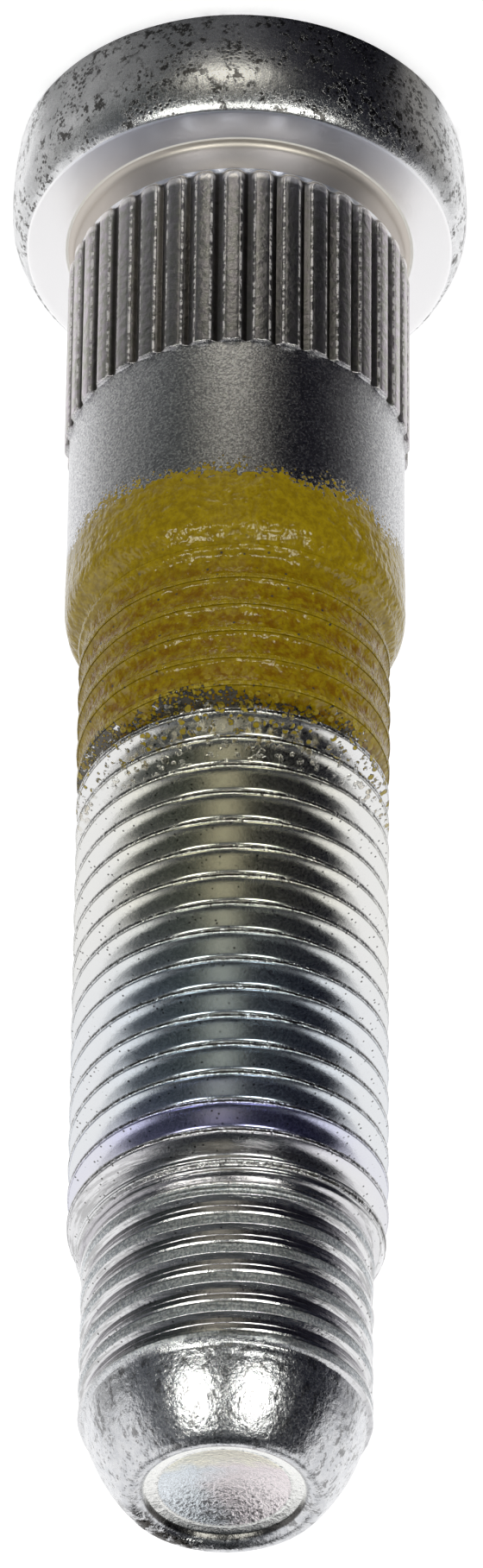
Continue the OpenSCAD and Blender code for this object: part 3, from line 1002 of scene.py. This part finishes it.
def sheet(name, rows, material, hidden=True):
    """A sheet of the studio from rows of points. A hidden one shows in reflections only."""
    width = len(rows[0])
    data = bpy.data.meshes.new(name)
    faces = [
        (i * width + j, i * width + j + 1, (i + 1) * width + j + 1, (i + 1) * width + j)
        for i in range(len(rows) - 1)
        for j in range(width - 1)
    ]
    data.from_pydata([tuple(c * MM for c in point) for row in rows for point in row], [], faces)
    data.update()
    data.materials.append(material)
    made = new_object(name, data)
    if hidden:
        made.visible_camera = False
        made.visible_diffuse = False
        made.visible_shadow = False
    return made


def floor_card():
    """A card on the floor round the camera's side. It is graded by the way that a ray leaves
    the stud and by how far out it lands, from lists of (azimuth, red, green, blue)."""
    azimuths = np.arange(NEAR_GREYS[0][0], NEAR_GREYS[-1][0] + 1, 3.0)
    turns = np.radians(azimuths)
    rows, greys = [], []
    for reaches, stops in CARD_ROWS:
        marks, *channels = zip(*stops)
        painted = list(zip(*(np.interp(azimuths, marks, channel) for channel in channels)))
        for reach in reaches:
            x = CARD_START * np.sin(turns / 2) + reach * np.sin(turns)
            y = -CARD_START * np.cos(turns / 2) - reach * np.cos(turns)
            rows.append([(float(a), float(b), CARD_HEIGHT) for a, b in zip(x, y)])
            greys.extend(painted)
    card = sheet("floor_card", rows, graded_finish())
    paint = card.data.color_attributes.new("grey", "FLOAT_COLOR", "POINT")
    for point, grey in zip(paint.data, greys):
        point.color = (*(float(c) for c in grey), 1.0)


def hung_card(name, azimuths, elevations, distance, material):
    """A curved card hung round the stud, between two azimuths and two elevations."""
    turns = np.radians(np.linspace(*azimuths, 13))
    rows = []
    for rise in np.radians(np.linspace(*elevations, 9)):
        reach, height = distance * math.cos(rise), distance * math.sin(rise) + CARDS_MIDDLE
        rows.append([(reach * math.sin(turn), -reach * math.cos(turn), height) for turn in turns])
    sheet(name, rows, material)


def add_camera():
    """The photograph's view: from above the tip, with the head at the top of the picture."""
    elevation, roll = math.radians(38.184), math.radians(0.656)
    distance, aim_z, aside = 484.0, 36.417, 0.371
    focal_px, picture_h, sensor = 12829.2, 1817, 36.0
    back = Vector((0, -math.cos(elevation), math.sin(elevation)))
    up = Vector((0, -math.sin(elevation), -math.cos(elevation)))
    right = Vector((-1, 0, 0))
    turned_right = math.cos(roll) * right + math.sin(roll) * up
    turned_up = -math.sin(roll) * right + math.cos(roll) * up
    data = bpy.data.cameras.new("camera")
    data.sensor_width = sensor
    data.lens = focal_px / picture_h * sensor
    data.clip_start, data.clip_end = 0.01, 10
    camera = new_object("camera", data)
    place = (Vector((0, 0, aim_z)) + back * distance + turned_right * aside) * MM
    axes = Matrix((turned_right, turned_up, back)).transposed().to_4x4()
    camera.matrix_world = Matrix.Translation(place) @ axes
    bpy.context.scene.camera = camera


def white_world():
    """Soft white light from all round, plain white behind the stud."""
    world = bpy.data.worlds.new("studio_world")
    bpy.context.scene.world = world
    f = Nodes(world)
    rays = f.node("ShaderNodeLightPath").outputs
    seen = f.math("MAXIMUM", rays["Is Camera Ray"], rays["Is Glossy Ray"])
    strength = f.node("ShaderNodeMapRange", {"Value": seen, "To Min": 0.7, "To Max": 1.0})
    light = f.node("ShaderNodeBackground", {"Color": (1, 1, 1, 1), "Strength": strength.outputs[0]})
    f.end(light, "ShaderNodeOutputWorld")


# Operators


class WHEELSTUD_OT_stud(bpy.types.Operator):
    """Builds the stud's finished surface in place of its plain solid"""

    bl_idname = "wheel_stud.stud"
    bl_label = "Stud"

    def execute(self, context):
        s, look = in_millimetres(context.scene.stud_sizes), context.scene.stud_finish
        data = stud_skin(s).mesh("stud_surface")
        data.materials.append(plated_steel(s, look))
        data.shade_smooth()
        data.set_sharp_from_angle(angle=math.radians(36))
        stud = new_object("stud_surface", data)
        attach(stud, "root")
        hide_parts(NODE)
        return {"FINISHED"}


class WHEELSTUD_OT_studio(bpy.types.Operator):
    """Sets up the floor, the cards, the world and the camera"""

    bl_idname = "wheel_stud.studio"
    bl_label = "Studio"

    def execute(self, context):
        corners = [[(x, y, 0) for x in (-FLOOR_EDGE, FLOOR_EDGE)] for y in (-FLOOR_EDGE, FLOOR_EDGE)]
        sheet("floor", corners, floor_finish(), hidden=False)
        navy = card_finish("navy_card", (0.014, 0.016, 0.028))
        slate = card_finish("slate_card", (0.04, 0.045, 0.05))
        glow = card_finish("soft_box", (1, 1, 0.93), 7.5)
        grey = card_finish("grey_card", (0.15, 0.16, 0.18))
        dim = card_finish("dim_card", (0.09, 0.1, 0.11))
        floor_card()
        hung_card("card_right", (-42, -92), (-9, 66), 250, navy)
        hung_card("card_left", (42, 78), (-9, 66), 250, grey)
        hung_card("card_front", (-42, 42), (-9, 66), 270, dim)
        hung_card("soft_box_left", (17, 34), (14, 37), 255, glow)
        hung_card("soft_box_right", (-15, -34), (14, 37), 255, glow)
        hung_card("roof_card", (-180, 180), (66, 90), 250, slate)
        hung_card("roof_behind", (150, 210), (48, 67), 250, slate)
        white_world()
        add_camera()
        context.scene.view_settings.view_transform = "Standard"
        return {"FINISHED"}


class WHEELSTUD_PT_panel(bpy.types.Panel):
    """The stud's sizes and finish, and the buttons that build it"""

    bl_idname = "WHEELSTUD_PT_panel"
    bl_label = "Wheel Stud"
    bl_space_type = "VIEW_3D"
    bl_region_type = "UI"
    bl_category = "Wheel Stud"

    def draw(self, context):
        layout = self.layout
        for made in (WHEELSTUD_OT_stud, WHEELSTUD_OT_studio):
            layout.operator(made.bl_idname)
        for group in (context.scene.stud_sizes, context.scene.stud_finish):
            box = layout.box()
            for name in group.__annotations__:
                box.prop(group, name)


CLASSES = (StudSizes, StudFinish, WHEELSTUD_OT_stud, WHEELSTUD_OT_studio, WHEELSTUD_PT_panel)


def register():
    for made in CLASSES:
        bpy.utils.register_class(made)
    bpy.types.Scene.stud_sizes = PointerProperty(type=StudSizes)
    bpy.types.Scene.stud_finish = PointerProperty(type=StudFinish)


def unregister():
    del bpy.types.Scene.stud_finish
    del bpy.types.Scene.stud_sizes
    for made in reversed(CLASSES):
        bpy.utils.unregister_class(made)


def main():
    register()
    bpy.ops.wheel_stud.stud()
    bpy.ops.wheel_stud.studio()


if __name__ == "__main__":
    main()
